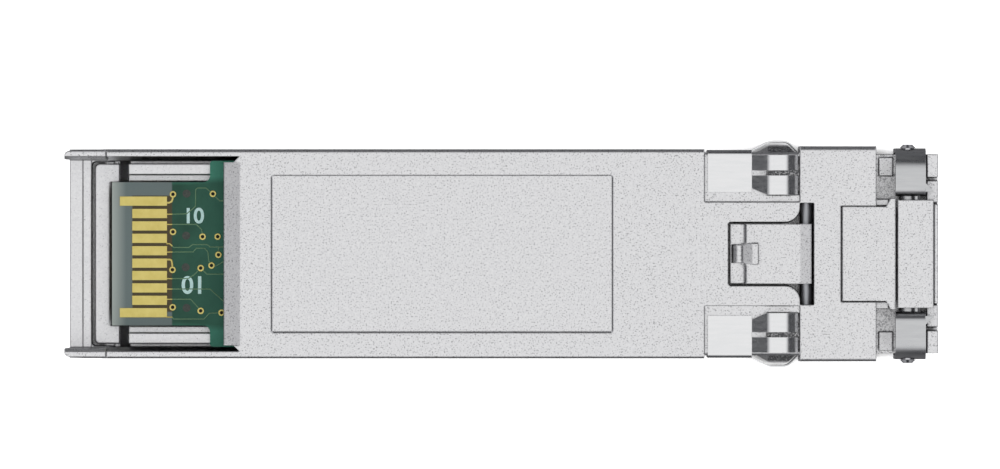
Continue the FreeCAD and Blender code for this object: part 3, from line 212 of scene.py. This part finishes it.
def masked_laminate():
    """Glass-fibre board: green solder mask, paler on the ears and with painted light near the housing,
    and a bare strip round the contacts.
    """
    material, tree, shader, place = new_finish("masked_laminate")
    mottle, green = two_tone(tree, place, 1.6, 3.0, "#295242", "#356552")
    parts = add_node(tree, "ShaderNodeSeparateXYZ", {"Vector": place})
    along = parts.outputs["X"]
    off_middle = add_node(tree, "ShaderNodeMath", {0: parts.outputs["Y"]}, operation="ABSOLUTE").outputs[0]

    # The mask is paler on the ears, partly its own tone and partly painted light against the skirts'
    # shade;
    # nearer the housing it is painted lighter against the housing's shade
    ear_share = add_node(tree, "ShaderNodeMapRange", {
        "Value": off_middle, "From Min": 4.4 * MM, "From Max": 5.0 * MM})
    housing_painted_light_share = add_node(tree, "ShaderNodeMapRange", {
        "Value": along, "From Min": -20.2 * MM, "From Max": -18.2 * MM, "To Max": 0.3})
    pale_and_painted_light_share = add_node(tree, "ShaderNodeMath", {
        0: ear_share.outputs["Result"], 1: housing_painted_light_share.outputs["Result"]}, operation="MAXIMUM")
    mask = add_node(tree, "ShaderNodeMix", {
        "Factor": pale_and_painted_light_share.outputs[0], COLOUR_A: green, COLOUR_B: linear("#4C9881")}, data_type="RGBA")

    # The bare strip is pale at the ground edge, and brown where it is the bed of the contacts
    edge_share = add_node(tree, "ShaderNodeMapRange", {
        "Value": along, "From Min": -25.1 * MM, "From Max": -24.2 * MM})
    bare = add_node(tree, "ShaderNodeMix", {
        "Factor": edge_share.outputs["Result"], COLOUR_A: linear("#BAC3BD"), COLOUR_B: linear("#778584")},
        data_type="RGBA")
    bed_along = add_node(tree, "ShaderNodeMapRange", {
        "Value": along, "From Min": -23.85 * MM, "From Max": -23.75 * MM})
    bed_across = add_node(tree, "ShaderNodeMapRange", {
        "Value": off_middle, "From Min": 3.8 * MM, "From Max": 3.7 * MM})
    bed_share = add_node(tree, "ShaderNodeMath", {
        0: bed_along.outputs["Result"], 1: bed_across.outputs["Result"]}, operation="MULTIPLY")
    strip = add_node(tree, "ShaderNodeMix", {
        "Factor": bed_share.outputs[0], COLOUR_A: bare.outputs[COLOUR_OUT], COLOUR_B: linear("#5A513B")},
        data_type="RGBA")

    mask_share = add_node(tree, "ShaderNodeMapRange", {
        "Value": along, "From Min": -21.28 * MM, "From Max": -21.2 * MM})
    colour = add_node(tree, "ShaderNodeMix", {
        "Factor": mask_share.outputs["Result"],
        COLOUR_A: strip.outputs[COLOUR_OUT], COLOUR_B: mask.outputs[COLOUR_OUT]}, data_type="RGBA")
    weave = add_node(tree, "ShaderNodeBump", {"Height": mottle, "Strength": 0.1, "Distance": 0.01 * MM})
    set_inputs(tree, shader, {
        "Base Color": colour.outputs[COLOUR_OUT], "Roughness": 0.42, "Specular IOR Level": 0.2,
        "Normal": weave.outputs["Normal"]})
    return material


def hard_gold():
    """Hard gold over nickel and copper: warm yellow, satin, a little worn."""
    material, tree, shader, place = new_finish("hard_gold")
    _, tone = two_tone(tree, place, 0.5, 3.0, "#D3C270", "#DECE7E")
    rounded = add_node(tree, "ShaderNodeBevel", {"Radius": 0.025 * MM}, samples=4)
    set_inputs(tree, shader, {
        "Base Color": tone, "Metallic": 0.85, "Roughness": 0.34, "Normal": rounded.outputs["Normal"]})
    return material


def masked_copper():
    """Copper track under the solder mask: a green line a shade lighter than the board."""
    material, tree, shader, place = new_finish("masked_copper")
    _, tone = two_tone(tree, place, 0.7, 2.0, "#5F8763", "#6E9570")
    set_inputs(tree, shader, {"Base Color": tone, "Roughness": 0.4})
    return material


def small_finish(name, low, high, grain_mm, roughness):
    """A plain matt finish whose colour wanders a little between two tones."""
    material, tree, shader, place = new_finish(name)
    grain, tone = two_tone(tree, place, grain_mm, 2.0, low, high)
    dents = add_node(tree, "ShaderNodeBump", {"Height": grain, "Strength": 0.15, "Distance": 0.01 * MM})
    set_inputs(tree, shader, {
        "Base Color": tone, "Roughness": roughness, "Normal": dents.outputs["Normal"]})
    return material


zinc = die_cast_zinc()
# The collar is bright-rolled; the bail is nickel plated, darker and more satin
spring_steel = sheet_steel("rolled_spring_steel", "#E2E3E4", "#E9E9EA", 0.16, 0.3)
bail_steel = sheet_steel("nickel_plated_steel", "#BFC0C2", "#CACBCC", 0.22, 0.36)
polished_steel = turned_steel("turned_steel", "#BEBFC2", "#D6D6D8", 0.12, 0.24)
# The pressed-in pin is a darker, duller steel than the other turned parts
hardened_steel = turned_steel("hardened_steel", "#B0B2B6", "#BEC0C4", 0.36, 0.48)
laminate = masked_laminate()
gold = hard_gold()
track = masked_copper()
# White epoxy legend ink, thin enough to take a green cast from the board below it
legend_ink = small_finish("epoxy_legend_ink", "#CDF6F1", "#DEFFFC", 0.25, 0.6)
# The open barrel of a plated hole, dark because little light gets in
hole_dark = small_finish("hole_shadow", "#15130E", "#221E15", 0.2, 0.8)
# Resin-filled hole under the mask, a dull grey-green
hole_fill = small_finish("filled_hole_resin", "#3A423C", "#4C524B", 0.15, 0.55)
# Flexible circuits of amber film, with a soft sheen
polyimide = small_finish("polyimide_film", "#9A5A1C", "#B36D27", 0.6, 0.35)
# Moulded chip packages, near black and matt
moulding_black = small_finish("epoxy_moulding", "#1B1B1C", "#262627", 0.1, 0.6)
# Fired capacitor bodies, a warm tan
ceramic_tan = small_finish("capacitor_ceramic", "#8B6B4C", "#A08062", 0.2, 0.5)
# The soft thermal pad, a chalky grey
silicone_grey = small_finish("filled_silicone", "#7C8286", "#8C9296", 0.3, 0.7)
# The clamp's stiff moulding, dark grey with a little sheen
liquid_crystal_polymer = small_finish("glass_filled_polymer", "#202123", "#2C2D2F", 0.2, 0.5)

finishes = {
    "base_housing": zinc, "top_cover": zinc, "latch_rocker": zinc,
    "spring_collar": spring_steel, "bail": bail_steel,
    "bail_pin": polished_steel, "rocker_pin": hardened_steel,
    "transmitter_can": polished_steel, "receiver_can": polished_steel,
    "transmitter_sleeve": polished_steel, "receiver_sleeve": polished_steel,
    "circuit_board": laminate, "contact_fingers_near": gold, "contact_fingers_far": gold,
    "transmitter_flex": polyimide, "receiver_flex": polyimide,
    "driver_chip": moulding_black, "amplifier_chip": moulding_black, "controller_chip": moulding_black,
    "small_capacitors": ceramic_tan, "thermal_pad": silicone_grey, "can_clamp": liquid_crystal_polymer,
}
for node, finish in finishes.items():
    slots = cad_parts[node].data.materials
    slots.clear()
    slots.append(finish)


def add_piece(name, mesh, finish, body="module"):
    """Puts a finished mesh in the scene, riding on a body."""
    mesh.materials.clear()
    mesh.materials.append(finish)
    piece = bpy.data.objects.new(name, mesh)
    bpy.context.collection.objects.link(piece)
    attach(piece, body)


def mesh_from(bm, name):
    """Turns the edited faces into a mesh, joined at their edges and facing outwards."""
    bmesh.ops.remove_doubles(bm, verts=bm.verts, dist=MERGE_DISTANCE)
    bmesh.ops.recalc_face_normals(bm, faces=bm.faces)
    mesh = bpy.data.meshes.new(name)
    bm.to_mesh(mesh)
    bm.free()
    return mesh


def leaf_spring(knee, crest):
    """The leaf spring as the CAD has it, cut across along its rise so that it can bend there."""
    bm = bmesh.new()
    bm.from_mesh(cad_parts["rocker_spring"].data)
    bmesh.ops.remove_doubles(bm, verts=bm.verts, dist=MERGE_DISTANCE)
    stations = 6
    for step in range(1, stations):
        cut = Vector((knee + (crest - knee) * step / stations, 0, 0))
        everything = bm.verts[:] + bm.edges[:] + bm.faces[:]
        bmesh.ops.bisect_plane(bm, geom=everything, plane_co=cut, plane_no=(1, 0, 0))
    mesh = mesh_from(bm, "leaf_spring")
    mesh.materials.append(spring_steel)
    return mesh


# The leaf spring's foot stays in the housing; it is cut from there to its crest, which bears on the
# rocker's tongue
spring_foot = 1.1
spring_lip = 0.6
spring_low, spring_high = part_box("rocker_spring")
spring_knee = spring_high[0] - spring_foot * MM
spring_crest = spring_low[0] + spring_lip * MM
spring = bpy.data.objects.new("leaf_spring", leaf_spring(spring_knee, spring_crest))
bpy.context.collection.objects.link(spring)
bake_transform(spring)
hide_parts("rocker_spring")


# Board details lie on the board's latch-side face, their undersides sunk into it
board_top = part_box("circuit_board")[1][2] / MM
sunk = 0.02
round_steps = 28

# Plated holes, read off the photo: a gold ring round an open hole
ring_outer = 0.215
ring_inner = 0.1
ring_height = 0.02
ring_shoulder = 0.6 * ring_height
outer_ease = 0.03
inner_ease = 0.02
plated_holes = (
    (-21.18, 3.84), (-21.18, 1.42), (-19.27, 1.11), (-18.29, 1.11), (-18.6, 3.87), (-18.24, -0.06),
    (-18.69, -0.75), (-21.21, -1.03), (-19.39, -0.92), (-21.2, -3.45), (-19.39, -3.68), (-18.04, -3.8))
filled_holes = ((-20.3, 3.88), (-20.33, 1.17), (-20.36, -0.87), (-20.3, -3.49))
filled_radius = 0.26
barrel_top = 0.006
filling_top = 0.004


def hole_rings():
    """A flat ring with softened edges, spun round each plated hole."""
    corners = [(ring_inner, -sunk), (ring_outer, -sunk), (ring_outer, ring_shoulder),
               (ring_outer - outer_ease, ring_height), (ring_inner + inner_ease, ring_height)]
    bm = bmesh.new()
    for x, y in plated_holes:
        centre = Vector((x, y, board_top)) * MM
        rim = [bm.verts.new(centre + Vector((across, 0, up)) * MM) for across, up in corners]
        edges = [bm.edges.new((rim[i], rim[(i + 1) % len(rim)])) for i in range(len(rim))]
        bmesh.ops.spin(bm, geom=rim + edges, cent=centre, axis=(0, 0, 1), angle=math.tau,
                       steps=round_steps, use_merge=True)
    return mesh_from(bm, "hole_rings")


def round_marks(name, places, radius, top):
    """Low round plugs at the given places."""
    bm = bmesh.new()
    for x, y in places:
        middle = Matrix.Translation(Vector((x, y, board_top + (top - sunk) / 2)) * MM)
        bmesh.ops.create_cone(bm, cap_ends=True, segments=round_steps, radius1=radius * MM,
                              radius2=radius * MM, depth=(top + sunk) * MM, matrix=middle)
    return mesh_from(bm, name)


add_piece("hole_rings", hole_rings(), gold)
add_piece("open_holes", round_marks("open_holes", plated_holes, ring_inner, barrel_top),
          hole_dark)
add_piece("filled_holes", round_marks("filled_holes", filled_holes, filled_radius, filling_top),
          hole_fill)


def tracks(name, routes, radius, drop):
    """Round tracks along the given routes, their middles this far below the board's face."""
    curve = bpy.data.curves.new(name, "CURVE")
    curve.dimensions = "3D"
    curve.bevel_depth = radius * MM
    curve.bevel_resolution = 1
    curve.use_fill_caps = True
    for route in routes:
        line = curve.splines.new("POLY")
        line.points.add(len(route) - 1)
        for point, (x, y) in zip(line.points, route):
            point.co = (x * MM, y * MM, (board_top - drop) * MM, 1)
    holder = bpy.data.objects.new(name, curve)
    bpy.context.collection.objects.link(holder)
    mesh = bpy.data.meshes.new_from_object(holder)
    bpy.data.objects.remove(holder)
    return mesh


# Tracks under the mask, from the contacts to the holes and on under the housing
mask_edge = -21.24
masked_routes = (
    ((mask_edge, 2.56), (-20.3, 2.58), (-19.9, 2.9), (-19.72, 3.08), (-19.72, 4.14), (-19.59, 4.25),
     (-19.06, 4.25), (-18.7, 3.95)),
    ((-18.54, 3.78), (-18.16, 3.42), (-17.8, 3.42)),
    ((mask_edge, 1.9), (-19.67, 1.9), (-19.31, 1.55), (-19.28, 1.2)),
    ((mask_edge, 0.5), (-21.11, 0.41), (-20.15, 0.41), (-19.91, 0.6), (-18.97, 0.6), (-18.78, 0.44),
     (-17.8, 0.44)),
    ((-18.24, 0.0), (-18.24, 0.42)),
    ((mask_edge, 0.12), (-19.88, 0.12), (-19.67, 0.36), (-19.13, 0.36), (-18.92, 0.12), (-18.86, -0.48),
     (-18.74, -0.66)),
    ((-18.62, -0.78), (-18.38, -0.79), (-17.8, -0.43)),
    ((mask_edge, -1.6), (-20.2, -1.6), (-19.8, -1.34), (-19.46, -1.0)),
    ((-19.32, -0.99), (-18.99, -1.31), (-17.8, -1.31)),
    ((mask_edge, -2.27), (-18.79, -2.27), (-17.8, -3.16)),
    ((mask_edge, -2.93), (-20.04, -2.93), (-19.46, -3.56)),
    ((mask_edge, -4.08), (-21.13, -4.21), (-19.18, -4.21), (-18.84, -3.84), (-18.2, -3.8)),
)
add_piece("masked_tracks", tracks("masked_tracks", masked_routes, 0.055, 0.03), track)

# Bare leads between the contacts and the mask: straight ones, one with a bend, and two curled back to
# their own holes
lead_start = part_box("contact_fingers_near")[1][0] / MM - 0.05
lead_end = mask_edge + 0.02
straight_leads = (2.56, 1.9, 0.12, -1.6, -2.27, -2.93, -4.08)
bare_routes = [((lead_start, y), (lead_end, y)) for y in straight_leads]
bare_routes.append(((lead_start, 0.66), (-21.4, 0.66), (lead_end, 0.5)))
add_piece("bare_leads", tracks("bare_leads", bare_routes, 0.06, 0.03), gold)
curls = (
    ((lead_start, 3.3), (-21.42, 3.3), (-21.26, 3.38), (-21.2, 3.55), (-21.18, 3.7)),
    ((lead_start, -0.36), (-21.38, -0.36), (-21.27, -0.42), (-21.24, -0.58), (-21.22, -0.84)),
)
add_piece("curled_leads", tracks("curled_leads", curls, 0.11, 0.08), gold)

# Generic numbers for the first and the last contact, in ink that spreads a little
legend_x = -19.85
legends = (("first_contact_mark", "01", 2.52, 1.0), ("last_contact_mark", "10", -1.95, 1.15))
figure_share = 0.73
ink_thickness = 0.004
ink_spread = 0.03


def legend(name, figures, y, height):
    """Printed figures on the board, turned half round as the contacts are numbered."""
    letters = bpy.data.curves.new(name, "FONT")
    letters.body = figures
    letters.size = height / figure_share * MM
    letters.extrude = ink_thickness * MM
    letters.offset = ink_spread * MM
    letters.align_x = "CENTER"
    letters.align_y = "CENTER"
    holder = bpy.data.objects.new(name, letters)
    bpy.context.collection.objects.link(holder)
    bpy.context.view_layer.update()
    mesh = bpy.data.meshes.new_from_object(holder)
    bpy.data.objects.remove(holder)
    middle = Matrix.Translation(Vector((legend_x, y, board_top + ink_thickness)) * MM)
    mesh.transform(middle @ Matrix.Rotation(math.pi, 4, "Z"))
    return mesh


for name, figures, y, height in legends:
    add_piece(name, legend(name, figures, y, height), legend_ink)


def pale_floor():
    """White paper under the module, seen by the camera alone."""
    bm = bmesh.new()
    bmesh.ops.create_grid(bm, x_segments=1, y_segments=1, size=0.5)
    mesh = mesh_from(bm, "floor")
    material, tree, shader, _ = new_finish("matt_white_paper")
    # Painted light: the paper glows where it lies open to the sky. In the narrow gaps under the springs
    # the glow is left off, as painted shade
    shelter = add_node(tree, "ShaderNodeAmbientOcclusion", {"Distance": 6 * MM}, samples=8)
    glow = add_node(tree, "ShaderNodeMapRange", {
        "Value": shelter.outputs["AO"], "From Min": 0.4, "From Max": 0.5})
    set_inputs(tree, shader, {
        "Base Color": linear("#F4F4F4"), "Roughness": 0.9, "Emission Color": (1, 1, 1, 1),
        "Emission Strength": glow.outputs["Result"]})
    mesh.materials.append(material)
    floor = bpy.data.objects.new("floor", mesh)
    floor.visible_glossy = False
    floor.visible_diffuse = False
    bpy.context.collection.objects.link(floor)


def studio_sky():
    """A bright soft light overhead, dark cards facing the sides and the ends, and pale corner screens."""
    world = bpy.data.worlds.new("studio_sky")
    bpy.context.scene.world = world
    world.use_nodes = True
    tree = world.node_tree
    tree.nodes.clear()
    way = add_node(tree, "ShaderNodeTexCoord").outputs["Generated"]
    parts = add_node(tree, "ShaderNodeSeparateXYZ", {"Vector": way})

    # The light leans to the near side; below it stand the dark cards, and then the grey ground
    overhead = Vector((0, -0.32, 1)).normalized()
    height = add_node(tree, "ShaderNodeVectorMath", {0: way, 1: overhead}, operation="DOT_PRODUCT")
    share = add_node(tree, "ShaderNodeMapRange", {
        "Value": height.outputs["Value"], "From Min": -1.0, "From Max": 1.0})
    glow = add_node(tree, "ShaderNodeValToRGB", {"Fac": share.outputs["Result"]})
    set_ramp(glow, ((0.36, "#606164"), (0.5, "#36373A"), (0.8, "#424346"), (0.87, "#C8C8CA"),
                    (0.93, "#FFFFFF")))
    ground_share = add_node(tree, "ShaderNodeMapRange", {
        "Value": parts.outputs["Z"], "From Min": -0.2, "From Max": -0.36})
    surround = add_node(tree, "ShaderNodeMix", {
        "Factor": ground_share.outputs["Result"],
        COLOUR_A: glow.outputs["Color"], COLOUR_B: linear("#6E6E70")}, data_type="RGBA")

    # Pale screens close the four corners between the cards
    slant = add_node(tree, "ShaderNodeMath", {
        0: parts.outputs["X"], 1: parts.outputs["Y"]}, operation="MULTIPLY")
    off_axes = add_node(tree, "ShaderNodeMath", {0: slant.outputs[0]}, operation="ABSOLUTE")
    screen_share = add_node(tree, "ShaderNodeMapRange", {
        "Value": off_axes.outputs[0], "From Min": 0.14, "From Max": 0.26})
    screen_height = add_node(tree, "ShaderNodeMapRange", {
        "Value": parts.outputs["Z"], "From Min": -0.5, "From Max": 0.5})
    screen = add_node(tree, "ShaderNodeMix", {
        "Factor": screen_height.outputs["Result"],
        COLOUR_A: linear("#98989A"), COLOUR_B: linear("#E8E8EA")}, data_type="RGBA")
    screened = add_node(tree, "ShaderNodeMix", {
        "Factor": screen_share.outputs["Result"],
        COLOUR_A: surround.outputs[COLOUR_OUT], COLOUR_B: screen.outputs[COLOUR_OUT]}, data_type="RGBA")
    sky = add_node(tree, "ShaderNodeBackground", {"Color": screened.outputs[COLOUR_OUT], "Strength": 1.0})
    add_node(tree, "ShaderNodeOutputWorld", {"Surface": sky.outputs["Background"]})


pale_floor()
studio_sky()

# Camera straight above the latch side. A long lens keeps the view nearly as flat as the photo's, and the
# photo's scale is met at the board's level.
scene = bpy.context.scene
scene.view_settings.view_transform = "Standard"
image_width = 1000
pixels_per_mm = 15.5
view_width = image_width / pixels_per_mm * MM
view_x, view_y = -0.08, 1.245
camera_height = 1.3
far_clip = 10
sensor = 36.0
lens = bpy.data.cameras.new("camera")
lens.sensor_width = sensor
lens.lens = sensor * (camera_height - board_top * MM) / view_width
lens.clip_end = far_clip
camera = bpy.data.objects.new("camera", lens)
camera.location = (view_x * MM, view_y * MM, camera_height)
bpy.context.collection.objects.link(camera)
scene.camera = camera
